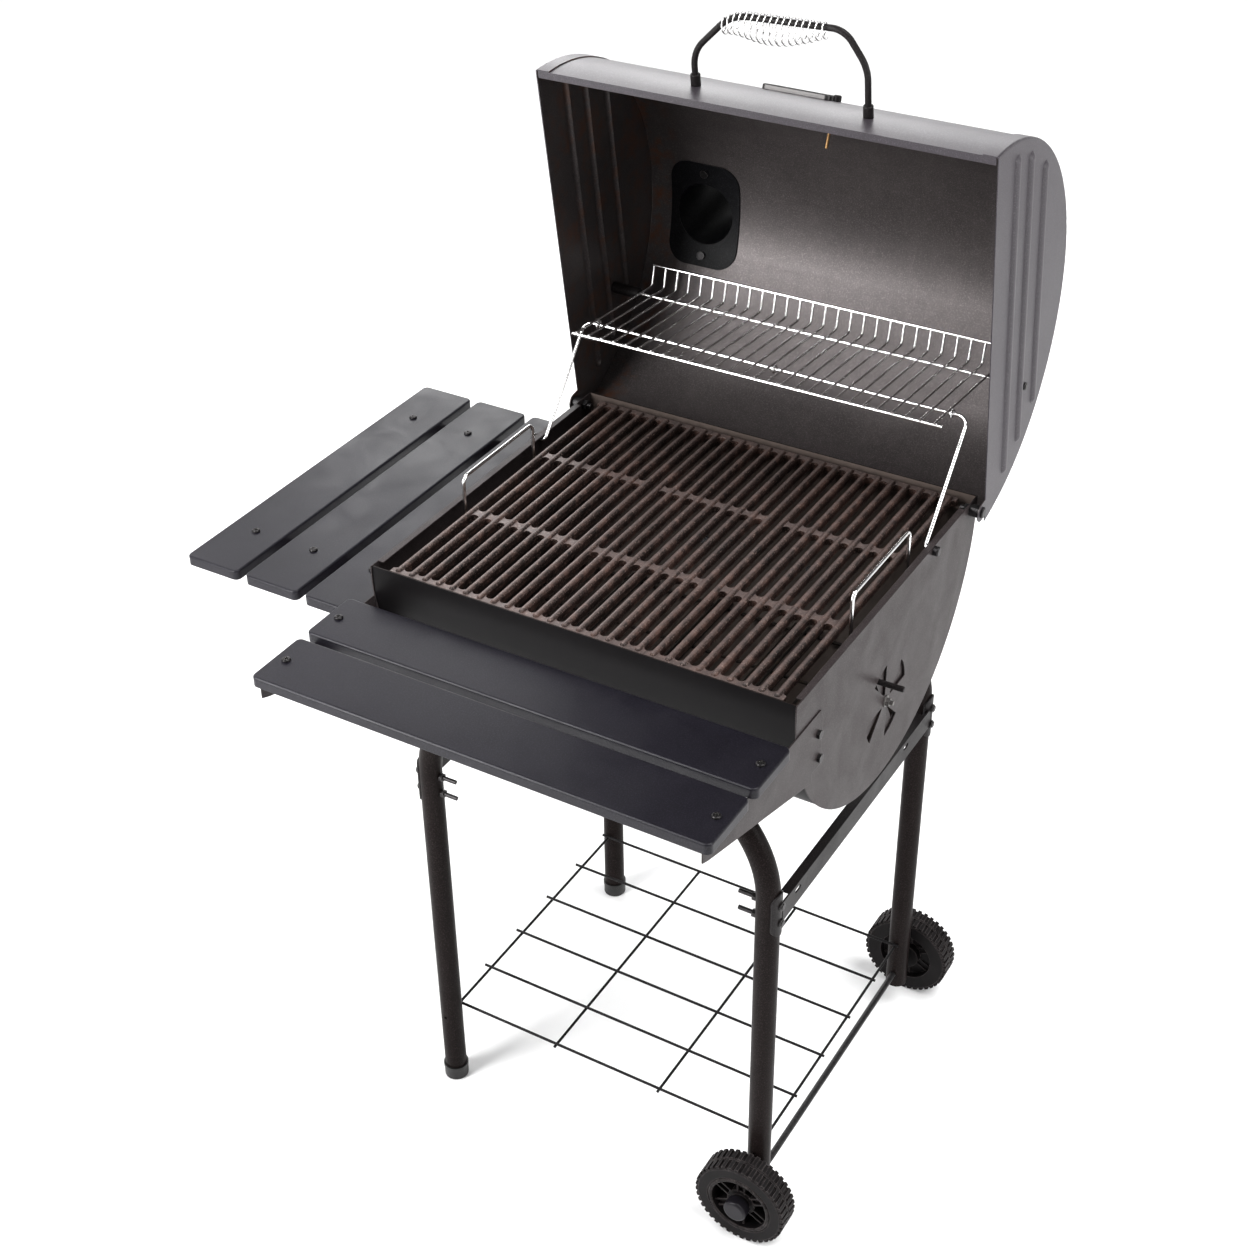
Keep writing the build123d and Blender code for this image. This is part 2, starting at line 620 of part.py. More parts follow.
def warming_rack():
    wires = []
    y_front = RACK_FRONT[0] - 4
    y_bend = 384.0
    top = (391.0, 1073.0)
    for i in range(RACK_WIRES):
        x = (i - (RACK_WIRES - 1) / 2) * RACK_PITCH
        wires.append(
            bent_wire(
                [(x, y_front, rack_wire_z(y_front)), (x, y_bend, rack_wire_z(y_bend)), (x, *top)],
                [5.0],
                RACK_R,
            )
        )
    half = RACK_PITCH * (RACK_WIRES - 1) / 2
    wires.append(rod_x(RACK_CROSS_R, -half - 8, half + 8, RACK_FRONT[0], rack_wire_z(RACK_FRONT[0]) - 3.8))
    wires.append(rod_x(RACK_CROSS_R, -281, 281, *RACK_PIVOT))
    wires.append(rod_x(RACK_R + 0.25, -half - 1.5, half + 1.5, top[0], top[1]))
    y, z = ARM_TOP
    for x in (-half, RACK_PITCH / 2, half):
        wires.append(Plane(origin=(x, y, z), z_dir=(1, 0, 0)) * Torus(HOOK_R, RACK_R))
        wires.append(rod((x, y, z + HOOK_R), (x, y, z + HOOK_DROP), HOOK_NECK_R))
    return fuse(wires)


def swing_bail():
    y0, z0 = ARM_FOOT
    y1, z1 = ARM_TOP
    out = BOWL_END + 7
    points = [(out, y0, z0), (ARM_X, y0, z0), (ARM_X, y1, z1)]
    points += [(-x, y, z) for x, y, z in reversed(points)]
    return bent_wire(points, [6, 13, 13, 6], 2.5)


def bail_cap(side):
    """Push-on cap that keeps the bail's foot in the bowl's end plate."""
    x0 = side * (BOWL_END + 0.35)
    cap = rod_x(6.5, x0, x0 + side * 7.5, *ARM_FOOT)
    cap = fillet(cap.edges().group_by(Axis.X)[-1 if side > 0 else 0], 2)
    return cap - rod_x(2.55, x0 - side, side * (BOWL_END + 7.1), *ARM_FOOT)


# ---- lid, drawn closed --------------------------------------------------------------------------------
RIBS = ((60.0, 46.0, 498.0), (105.0, 67.0, 479.0), (155.0, 97.0, 441.0))
RIB_R = 11.0
RIB_RISE = 4.0
FLUE_PHI = math.degrees(math.atan2(STACK_Y, math.sqrt(LID_R**2 - STACK_Y**2)))
FLUE_W = 110.0
FLUE_L = 152.0
FLUE_BOLT = 62.0
PROBE_X = 52.0
PROBE_PHI = 29.0


def open_lid(shape):
    """Swing a shape from the closed lid to the open one."""
    turn = Pos(0, *HINGE) * Rot(-LID_OPEN, 0, 0) * Pos(0, -HINGE[0], -HINGE[1])
    return turn * shape


def closed_from_open(y, z):
    """Where a point (y, z) of the open lid lies with the lid closed."""
    a = math.radians(LID_OPEN)
    dy = y - HINGE[0]
    dz = z - HINGE[1]
    return (
        HINGE[0] + dy * math.cos(a) - dz * math.sin(a),
        HINGE[1] + dy * math.sin(a) + dz * math.cos(a),
    )


def flue_plane(r):
    """Plane on the lid at the flue, facing outward, at distance r from the barrel axis."""
    a = math.radians(FLUE_PHI)
    out = (0, math.sin(a), math.cos(a))
    return Plane(origin=(STACK_X, out[1] * r, AXIS_Z + out[2] * r), x_dir=(1, 0, 0), z_dir=out)


def front_plane(x, phi, r):
    """Plane on the lid's front, phi degrees above level, facing outward."""
    a = math.radians(phi)
    out = (0, -math.cos(a), math.sin(a))
    return Plane(origin=(x, out[1] * r, AXIS_Z + out[2] * r), x_dir=(1, 0, 0), z_dir=out)


def flue_bolt_plane(side, r):
    """Plane square to the lid's sheet at a flue bolt, at distance r from the barrel axis."""
    a = math.radians(FLUE_PHI) - side * math.asin(FLUE_BOLT / LID_R)
    out = (0, math.sin(a), math.cos(a))
    return Plane(origin=(STACK_X, out[1] * r, AXIS_Z + out[2] * r), x_dir=(1, 0, 0), z_dir=out)


def flue_bolt_hole(side):
    return flue_bolt_plane(side, LID_R) * Cylinder(BOLT_HOLE_R, 30)


def lid_shell():
    x = LID_END - LID_T - 1.8
    tube = arc_sheet(LID_R, LID_T, -x, x)
    tube = tube - box(-BIG, BIG, -BIG, 0, AXIS_Z - BIG, LID_EDGE) - box(-BIG, BIG, 0, BIG, AXIS_Z - BIG, LID_BACK_EDGE)
    lip = box(-x, x, -266.4, -256.6, LID_EDGE, LID_EDGE + LID_T)
    shape = tube + lip
    shape = shape - Pos(STACK_X, STACK_Y, LID_R + AXIS_Z) * Cylinder(STACK_R + 0.3, 80)
    for s in (-1, 1):
        shape = shape - flue_bolt_hole(s)
    return shape - front_plane(PROBE_X, PROBE_PHI, LID_R) * Cylinder(3.2, 30)


def lid_end():
    """Right-hand lid end: an embossed cap whose flange laps over the shell."""
    r_in = LID_R + 0.1
    r_out = r_in + LID_T
    x1 = LID_END
    x0 = LID_END - LID_T
    profile = Pos((x0 + x1) / 2, r_out / 2) * Rectangle(LID_T, r_out)
    profile += Pos(x1 - CAP_LAP / 2, (r_in + r_out) / 2) * Rectangle(CAP_LAP, LID_T)
    outer = [v for v in profile.vertices() if abs(v.X - x1) < 0.01 and abs(v.Y - r_out) < 0.01]
    profile = fillet(outer, 3.0)
    inner = [v for v in profile.vertices() if abs(v.X - x0) < 0.01 and abs(v.Y - r_in) < 0.01]
    profile = fillet(inner, 1.6)
    cap = Pos(0, 0, AXIS_Z) * revolve(profile, Axis.X, 360)
    cap = cap - box(-BIG, BIG, -BIG, BIG, AXIS_Z - BIG, LID_EDGE)
    cap = cap - box(x1 - CAP_LAP - 2, x0, 200, BIG, LID_EDGE - 1, LID_BACK_EDGE)
    for h, u0, u1 in RIBS:
        z = LID_EDGE + h
        x = x1 + RIB_RISE - RIB_R
        outside = capsule((x, LID_R - u1, z), (x, LID_R - u0, z), RIB_R) & box(x0, BIG, -BIG, BIG, 0, 2 * BIG)
        cap = cap + outside
        cap = cap - capsule((x, LID_R - u1, z), (x, LID_R - u0, z), RIB_R - LID_T)
    ear = disc_x(13, x0, x1, *HINGE)
    ear = ear + box(x0, x1, HINGE[0] - 13, HINGE[0] + 13, HINGE[1], LID_EDGE + 6)
    ay, az = closed_from_open(*RACK_PIVOT)
    return cap + ear - rod_x(4.06, 300, 330, *HINGE) - rod_x(BOLT_HOLE_R, 300, 330, ay, az)


def flue_outline(grow):
    return RectangleRounded(FLUE_W + grow, FLUE_L + grow, 30)


def curved_flange(r_in, t):
    """Flue flange bent to the barrel's radius."""
    ring = arc_sheet(r_in + t, t, STACK_X - 80, STACK_X + 80)
    return ring & (flue_plane(200) * extrude(flue_outline(0), 100))


def flue_flange():
    shape = curved_flange(LID_R - LID_T - 0.1 - 1.6, 1.6)
    shape = shape - flue_plane(200) * extrude(Circle(STACK_R - 1), 100)
    for s in (-1, 1):
        shape = shape - flue_bolt_hole(s)
    return shape


def smokestack():
    base = LID_R + AXIS_Z - 40
    top = AXIS_Z + math.sqrt(LID_R**2 - STACK_Y**2) + STACK_RISE
    tube = Pos(STACK_X, STACK_Y, base) * extrude(Circle(STACK_R), top - base)
    core = Pos(STACK_X, STACK_Y, base - 1) * extrude(Circle(STACK_R - SHEET), top - base + 2)
    flange = curved_flange(LID_R + 0.1, 1.6)
    shape = flange + (tube - disc_x(LID_R + 0.1, STACK_X - 90, STACK_X + 90)) - core
    for s in (-1, 1):
        shape = shape - flue_bolt_hole(s)
    return shape


def flue_bolt(side):
    """Head inside the lid on the flue flange, nut outside on the stack's flange."""
    inner = LID_R - LID_T - 1.9
    outer = LID_R + 1.9
    head = flue_bolt_plane(side, inner - 3.2) * extrude(Circle(6), 3.2)
    shank = flue_bolt_plane(side, inner - 1) * extrude(Circle(BOLT_R), outer - inner + 9)
    nut = flue_bolt_plane(side, outer) * extrude(RegularPolygon(5, 6, major_radius=False), 5)
    return fuse([head, shank, nut])


HANDLE_Z = LID_EDGE + 46.0
HANDLE_FEET = (-106.0, 129.0)
HANDLE_R = 4.0
HANDLE_CORNERS = ((-106, -264), (-106, -306), (-50, -362), (100, -367), (129, -323), (129, -264))
HANDLE_BENDS = (48.0, 60.0, 30.0, 55.0)


def handle_path():
    return bent_path([(x, y, HANDLE_Z) for x, y in HANDLE_CORNERS], HANDLE_BENDS)


def handle_rod():
    path = handle_path()
    return sweep(Plane(origin=path @ 0, z_dir=path % 0) * Circle(HANDLE_R), path=path)


def handle_ferrule(x):
    collar = rod((x, -250, HANDLE_Z), (x, -276, HANDLE_Z), 6.4)
    collar = fillet(collar.edges().group_by(Axis.Y)[0], 1.5)
    collar = collar - disc_x(LID_R + 0.05, x - 20, x + 20)
    return collar - rod((x, -263.8, HANDLE_Z), (x, -290, HANDLE_Z), HANDLE_R + 0.15)


GRIP_TURNS = 17
GRIP_X = (-64.0, 78.0)
GRIP_WIRE = 1.0
GRIP_END_R = 9.5
GRIP_MID_R = 17.6


def grip_centre(path, x):
    """The rod's y at x, found by halving along its path."""
    low, high = 0.15, 0.85
    for _ in range(24):
        middle = (low + high) / 2
        if (path @ middle).X < x:
            low = middle
        else:
            high = middle
    return (path @ low).Y


def spring_grip():
    """One wire coiled round the rod, fat in the middle, hanging from the rod with the lid open."""
    a = math.radians(LID_OPEN)
    down = (math.sin(a), -math.cos(a))
    rod_path = handle_path()
    points = []
    steps = GRIP_TURNS * 10
    for i in range(steps + 1):
        t = i / steps
        x = GRIP_X[0] + (GRIP_X[1] - GRIP_X[0]) * t
        r = GRIP_END_R + (GRIP_MID_R - GRIP_END_R) * math.sin(math.pi * t)
        hang = r - GRIP_WIRE - HANDLE_R - 1.3
        turn = 2 * math.pi * GRIP_TURNS * t
        cy = grip_centre(rod_path, x) + down[0] * hang
        cz = HANDLE_Z + down[1] * hang
        points.append((x, cy + r * math.cos(turn), cz + r * math.sin(turn)))
    path = Spline(points)
    return sweep(Plane(origin=path @ 0, z_dir=path % 0) * Circle(GRIP_WIRE), path=path, is_frenet=True)


def badge_plate():
    plane = front_plane(1, PROBE_PHI, 255)
    plate = extrude(RectangleRounded(94, 26, 6), 18.5)
    plate = chamfer(plate.faces().sort_by(Axis.Z)[-1].edges(), 1.2)
    return plane * plate - disc_x(LID_R + 0.05, -80, 80)


def gauge_boss():
    boss = extrude(Circle(5.2), 20)
    boss = fillet(boss.edges().group_by(Axis.Z)[-1], 2.5)
    shape = front_plane(PROBE_X + 2.2, PROBE_PHI, 255) * boss - disc_x(LID_R + 0.05, 20, 80)
    return shape


def probe():
    plane = front_plane(PROBE_X, PROBE_PHI, 209)
    stem = extrude(Circle(2.0), LID_R - 209 - 0.1)
    return plane * fillet(stem.edges().group_by(Axis.Z)[0], 1.2)


def rack_bush():
    """Right-hand bush inside the lid that the rack's cross wire turns in."""
    ay, az = closed_from_open(*RACK_PIVOT)
    x1 = LID_END - LID_T - 0.05
    body = rod_x(8, 268.5, x1, ay, az)
    body = fillet(body.edges().group_by(Axis.X)[0], 1.5)
    return body - rod_x(RACK_CROSS_R + 0.06, 260, 282, ay, az) - rod_x(BOLT_R + 0.05, 296, 320, ay, az)


def rack_bolt():
    ay, az = closed_from_open(*RACK_PIVOT)
    shank = rod_x(BOLT_R, 296.5, LID_END + 1, ay, az)
    head = rod_x(5.2, LID_END + 0.05, LID_END + 2.4, ay, az)
    dome = rod_x(4.2, LID_END + 2.4, LID_END + 3.8, ay, az)
    return fuse([shank, head, dome])


def hinge_bolt():
    shank = rod_x(4.0, BOWL_END - 14, LID_END + 1, *HINGE)
    head = rod_x(7.5, LID_END + 0.35, LID_END + 3.6, *HINGE)
    head = fillet(head.edges().group_by(Axis.X)[-1], 1.8)
    nut = hex_prism(13, 6.5, along((BOWL_END - SHEET - 0.05, *HINGE), (-1, 0, 0)))
    return fuse([shank, head, nut])


def hinge_spacer():
    x1 = LID_END - LID_T - 0.35
    return rod_x(8.5, BOWL_END + 0.05, x1, *HINGE) - rod_x(4.05, BOWL_END - 5, x1 + 5, *HINGE)


# ---- all nodes ----------------------------------------------------------------------------------------


def pair(shape):
    return [shape, mirrored(shape)]


def left_slat_holes(i):
    x0, x1 = LEFT_SLATS[i]
    return [((x0 + x1) / 2, y) for y in LEFT_BRACKET_Y]


def front_slat(i):
    y0, y1 = FRONT_SLATS[i]
    mid = (y0 + y1) / 2
    holes = [(-FRONT_SCREW_X, mid), (FRONT_SCREW_X, mid)]
    return slat(-FRONT_SHELF_X, FRONT_SHELF_X, y0, y1, FRONT_SHELF_Z, FRONT_DEPTH, holes)


def left_slat(i):
    x0, x1 = LEFT_SLATS[i]
    return slat(x0, x1, *LEFT_SHELF_Y, LEFT_SHELF_Z, LEFT_DEPTH, left_slat_holes(i))


def build_nodes():
    nodes = {}
    nodes["front_leg_frame"] = leg_frame(-1)
    nodes["rear_leg_frame"] = leg_frame(1)
    nodes["leg_caps"] = [leg_cap(-FRAME_Y), leg_cap(FRAME_Y)]
    right_bar = side_bar()
    nodes["right_side_bar"] = right_bar
    nodes["left_side_bar"] = mirrored(right_bar)
    nodes["frame_bolts"] = [
        frame_bolt(s, y, z) for s in (-1, 1) for y in (-FRAME_Y, FRAME_Y) for z in BOLT_ZS
    ]
    nodes["bottom_wire_shelf"] = bottom_shelf()
    nodes["axle"] = axle()
    nodes["front_wheel"] = wheel(WHEEL_YS[0])
    nodes["rear_wheel"] = wheel(WHEEL_YS[1])
    nodes["hub_caps"] = [hub_cap(y) for y in WHEEL_YS]
    nodes["bowl_shell"] = bowl_shell()
    nodes["bowl_right_end"] = bowl_end(True)
    nodes["bowl_left_end"] = mirrored(bowl_end(False))
    nodes["bowl_mount_bolts"] = [bowl_mount_bolt(x, s) for x in (-MOUNT_X, MOUNT_X) for s in (-1, 1)]
    nodes["damper_disc"] = damper_disc()
    nodes["damper_handle"] = damper_handle()
    nodes["damper_bolt"] = damper_bolt()
    nodes["front_slat_inner"] = front_slat(0)
    nodes["front_slat_outer"] = front_slat(1)
    bracket = front_bracket()
    nodes["front_bracket_right"] = bracket
    nodes["front_bracket_left"] = mirrored(bracket)
    nodes["left_slat_inner"] = left_slat(0)
    nodes["left_slat_middle"] = left_slat(1)
    nodes["left_slat_outer"] = left_slat(2)
    nodes["left_bracket_front"] = left_bracket(LEFT_BRACKET_Y[0])
    nodes["left_bracket_rear"] = left_bracket(LEFT_BRACKET_Y[1])
    nodes["shelf_screws"] = [pan_screw(*p) for p in front_screws() + left_screws()]
    bolts = [bracket_bolt(s, y, z) for s in (-1, 1) for y, z in FRONT_TAB_BOLTS]
    bolts += [bracket_bolt(-1, y + LEFT_TAB[1], z) for y in LEFT_BRACKET_Y for z in LEFT_TAB_ZS]
    nodes["bracket_bolts"] = bolts
    nodes["cooking_grate_left"] = cooking_grate(-184)
    nodes["cooking_grate_centre"] = cooking_grate(0)
    nodes["cooking_grate_right"] = cooking_grate(184)
    nodes["charcoal_grate"] = charcoal_grate()
    bail = charcoal_bail()
    nodes["charcoal_bail_right"] = bail
    nodes["charcoal_bail_left"] = mirrored(bail)
    nodes["warming_rack"] = warming_rack()
    nodes["swing_bail"] = swing_bail()
    nodes["bail_caps"] = [bail_cap(-1), bail_cap(1)]
    nodes["hinge_bolts"] = pair(hinge_bolt())
    nodes["hinge_spacers"] = pair(hinge_spacer())
    lid = {}
    lid["lid_shell"] = lid_shell()
    end = lid_end()
    lid["lid_right_end"] = end
    lid["lid_left_end"] = mirrored(end)
    lid["lid_handle"] = handle_rod()
    lid["handle_ferrules"] = [handle_ferrule(x) for x in HANDLE_FEET]
    lid["spring_grip"] = spring_grip()
    lid["badge_plate"] = badge_plate()
    lid["gauge_boss"] = gauge_boss()
    lid["gauge_probe"] = probe()
    lid["flue_flange"] = flue_flange()
    lid["smokestack"] = smokestack()
    lid["flue_bolts"] = [flue_bolt(s) for s in (-1, 1)]
    lid["rack_bushes"] = pair(rack_bush())
    lid["rack_bolts"] = pair(rack_bolt())
    for name, shape in lid.items():
        if isinstance(shape, list):
            nodes[name] = [open_lid(s) for s in shape]
        else:
            nodes[name] = open_lid(shape)
    return nodes


def main():
    nodes = build_nodes()
    shapes = {}
    for name, shape in nodes.items():
        shapes[name] = Compound(children=shape) if isinstance(shape, list) else shape
    low = [1e9, 1e9, 1e9]
    high = [-1e9, -1e9, -1e9]
    for shape in shapes.values():
        bb = shape.bounding_box()
        low = [min(a, b) for a, b in zip(low, tuple(bb.min))]
        high = [max(a, b) for a, b in zip(high, tuple(bb.max))]
    shift = Pos(-(low[0] + high[0]) / 2, -(low[1] + high[1]) / 2, -low[2])
    print("box", low, high)
    for name, shape in shapes.items():
        export_step(shift * shape, f"parts/{name}.step")
    print(len(shapes), "nodes")


main()
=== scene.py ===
import json
import math

import bmesh
import bpy
from mathutils import Matrix, Vector


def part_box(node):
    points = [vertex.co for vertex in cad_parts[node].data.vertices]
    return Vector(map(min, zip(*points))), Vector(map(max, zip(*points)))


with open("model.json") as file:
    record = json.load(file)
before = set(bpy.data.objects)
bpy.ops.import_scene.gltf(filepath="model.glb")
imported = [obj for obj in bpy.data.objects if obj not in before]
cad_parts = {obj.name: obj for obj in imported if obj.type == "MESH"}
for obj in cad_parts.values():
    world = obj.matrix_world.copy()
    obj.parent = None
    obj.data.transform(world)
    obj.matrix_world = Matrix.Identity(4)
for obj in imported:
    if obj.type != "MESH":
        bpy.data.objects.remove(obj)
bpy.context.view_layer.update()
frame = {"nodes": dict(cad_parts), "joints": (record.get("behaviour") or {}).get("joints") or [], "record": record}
nodes = frame["nodes"]
joints = {joint["name"]: joint for joint in frame["joints"]}


# ---- places -------------------------------------------------------------------------------------------
# The grill's own frame has X at the middle of the barrel's length, Y at its axis and Z at the ground.
BARREL_Z = 904.0        # height of the barrel's axis, mm
SEAM_X = 0.296          # lid's end seam from mid-length, m
bowl_low, bowl_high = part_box("bowl_shell")
MID_X = (bowl_low.x + bowl_high.x) / 2
AXIS_Y = (bowl_low.y + bowl_high.y) / 2
HINGE = Vector(joints["lid_hinge"]["pos_m"])
LID_OPEN = math.radians(joints["lid_hinge"]["range_deg"][1])


def grill_point(x, y, z):
    """A point given in millimetres in the grill's own frame."""
    return Vector((MID_X + x / 1000, AXIS_Y + y / 1000, z / 1000))


def opened(point):
    """Where a point of the closed lid is with the lid open, as photographed."""
    return HINGE + Matrix.Rotation(-LID_OPEN, 3, "X") @ (point - HINGE)


BARREL_AXIS = grill_point(0, 0, BARREL_Z)


# ---- node materials -----------------------------------------------------------------------------------
MIX_A, MIX_B, MIX_RESULT = 6, 7, 2      # the Mix node's colour sockets
BEVEL_SAMPLES = 4


class Mat:
    """Builds one node material around its Principled shader."""

    def __init__(self, name):
        self.material = bpy.data.materials.new(name)
        self.material.use_nodes = True
        self.tree = self.material.node_tree
        self.shader = self.tree.nodes["Principled BSDF"]
        self.coord = self.tree.nodes.new("ShaderNodeTexCoord")
        self.bumps = []

    def add(self, kind, inputs=None, **props):
        """A new node with its properties and inputs set."""
        node = self.tree.nodes.new(kind)
        for key, value in props.items():
            setattr(node, key, value)
        for key, value in (inputs or {}).items():
            self.put(value, node.inputs[key])
        return node

    def put(self, value, socket):
        """Sets a socket to a number or a colour, or links another node's output to it."""
        if isinstance(value, (int, float)):
            socket.default_value = value
        elif isinstance(value, tuple):
            socket.default_value = (*value, 1.0)
        else:
            self.tree.links.new(value, socket)

    def split(self, source):
        """The three components of a vector output."""
        return self.add("ShaderNodeSeparateXYZ", {0: source}).outputs

    def place(self):
        return self.split(self.coord.outputs["Object"])

    def normal(self):
        return self.split(self.coord.outputs["Normal"])

    def mapped(self, stretch):
        """Object coordinates, scaled by stretch where it is given."""
        place = self.coord.outputs["Object"]
        if stretch is None:
            return place
        node = self.add("ShaderNodeMapping", {"Vector": place})
        node.inputs["Scale"].default_value = stretch
        return node.outputs["Vector"]

    def noise(self, scale, detail, rough=0.55, distortion=0.0, stretch=None):
        inputs = {"Scale": scale, "Detail": detail, "Roughness": rough, "Distortion": distortion}
        inputs["Vector"] = self.mapped(stretch)
        return self.add("ShaderNodeTexNoise", inputs).outputs["Fac"]

    def ramp(self, fac, stops):
        node = self.add("ShaderNodeValToRGB", {"Fac": fac})
        points = node.color_ramp.elements
        while len(points) < len(stops):
            points.new(0.5)
        for point, (position, color) in zip(points, stops):
            point.position = position
            point.color = (*color, 1.0)
        return node.outputs["Color"]

    def remap(self, value, low, high, from_low=0.0, from_high=1.0):
        """A value taken from one range to another and kept within it."""
        inputs = {"Value": value, "From Min": from_low, "From Max": from_high, "To Min": low, "To Max": high}
        return self.add("ShaderNodeMapRange", inputs).outputs["Result"]

    def math(self, operation, a, b=None):
        inputs = {0: a} if b is None else {0: a, 1: b}
        return self.add("ShaderNodeMath", inputs, operation=operation).outputs[0]

    def total(self, *weighted):
        """Sum of outputs, each with its weight."""
        out = None
        for source, weight in weighted:
            part = self.math("MULTIPLY", source, weight)
            out = part if out is None else self.math("ADD", out, part)
        return out

    def mix(self, fac, a, b):
        inputs = {"Factor": fac, MIX_A: a, MIX_B: b}
        return self.add("ShaderNodeMix", inputs, data_type="RGBA").outputs[MIX_RESULT]

    def rounded(self, radius):
        """The normals that the surface would have with this radius on its edges."""
        return self.add("ShaderNodeBevel", {"Radius": radius}, samples=BEVEL_SAMPLES).outputs["Normal"]

    def edge_wear(self, radius):
        """0 on flats, 1 on sharp edges."""
        geometry = self.add("ShaderNodeNewGeometry")
        inputs = {0: geometry.outputs["Normal"], 1: self.rounded(radius)}
        dot = self.add("ShaderNodeVectorMath", inputs, operation="DOT_PRODUCT")
        return self.remap(dot.outputs["Value"], 1.0, 0.0, 0.85, 0.995)

    def bump(self, height, distance, strength):
        self.bumps.append((height, distance, strength))

    def finish(self, color, rough, metallic=0.0, spec=0.5, round_edges=0.0):
        """Sets the shader: rounded edges first, then each bump on top of the one before."""
        surface = {"Base Color": color, "Roughness": rough, "Metallic": metallic, "Specular IOR Level": spec}
        for key, value in surface.items():
            self.put(value, self.shader.inputs[key])
        normal = self.rounded(round_edges) if round_edges else None
        for height, distance, strength in self.bumps:
            inputs = {"Height": height, "Distance": distance, "Strength": strength}
            if normal is not None:
                inputs["Normal"] = normal
            normal = self.add("ShaderNodeBump", inputs).outputs["Normal"]
        if normal is not None:
            self.put(normal, self.shader.inputs["Normal"])
        return self.material


# ---- powder coats -------------------------------------------------------------------------------------
PEEL = 0.00006          # height of the coat's orange peel, m


def speckled(mat, color, base, gain):
    """Fine pale flecks of the powder coat over a colour."""
    fleck = mat.remap(mat.noise(620.0, 3.0, 0.7), 0.0, 1.0, 0.50, 0.72)
    pale = tuple(min(1.0, channel * gain + 0.01) for channel in base)
    return mat.mix(fleck, color, pale)


def cloudy(mat, scale, fine_scale):
    """Slow cloudiness, fine variation and their weighted tone."""
    cloud = mat.noise(scale, 5.0)
    fine = mat.noise(fine_scale, 3.0)
    return cloud, fine, mat.total((cloud, 0.7), (fine, 0.3))


def orange_peel(mat, coarse_scale, coarse_height, fine_rough=0.55):
    """Fine and coarse unevenness of a sprayed coat."""
    mat.bump(mat.noise(1400.0, 2.0, fine_rough), PEEL, 0.5)
    mat.bump(mat.noise(coarse_scale, 2.0), coarse_height, 0.35)


def powder(name, dark, light, rough, spec, round_edges=0.0012):
    """Baked powder coat: orange peel, faint cloudiness and fine pale flecks."""
    mat = Mat(name)
    _, fine, tone = cloudy(mat, 7.0, 60.0)
    color = speckled(mat, mat.ramp(tone, [(0.30, dark), (0.72, light)]), light, 2.0)
    smear = mat.remap(mat.noise(16.0, 4.0, distortion=0.6), rough - 0.05, rough + 0.07, 0.3, 0.7)
    rough_map = mat.math("ADD", smear, mat.remap(fine, -0.02, 0.02))
    orange_peel(mat, 260.0, PEEL * 1.6, 0.5)
    return mat.finish(color, rough_map, spec=spec, round_edges=round_edges)


def body_paint():
    return powder("body_paint", (0.026, 0.0205, 0.0208), (0.038, 0.0305, 0.031), rough=0.42, spec=0.26)


def shelf_paint():
    return powder("shelf_paint", (0.0060, 0.0053, 0.0085), (0.010, 0.0088, 0.0140), rough=0.35, spec=0.35)


def tube_paint():
    return powder("tube_paint", (0.008, 0.0055, 0.0052), (0.013, 0.0092, 0.0088), rough=0.34, spec=0.07)


def black_paint():
    return powder("black_paint", (0.010, 0.0085, 0.0088), (0.016, 0.0135, 0.014), rough=0.40, spec=0.2)


def wire_paint():
    """Thin coat on wire, whose round sections have no edges to soften."""
    dark, light = (0.005, 0.0045, 0.005), (0.009, 0.008, 0.0085)
    return powder("wire_paint", dark, light, rough=0.38, spec=0.15, round_edges=0.0)


def flue_paint():
    return powder("flue_paint", (0.003, 0.003, 0.0035), (0.006, 0.006, 0.0075), rough=0.38, spec=0.12)


def outward(mat, axis, with_ends):
    """Positive where a surface faces away from the barrel's axis, negative where it faces the axis."""
    place = mat.place()
    normal = mat.normal()
    sides = (1, 2, 0) if with_ends else (1, 2)
    parts = [mat.math("MULTIPLY", mat.math("SUBTRACT", place[i], axis[i]), normal[i]) for i in sides]
    out = parts[0]
    for part in parts[1:]:
        out = mat.math("ADD", out, part)
    return out


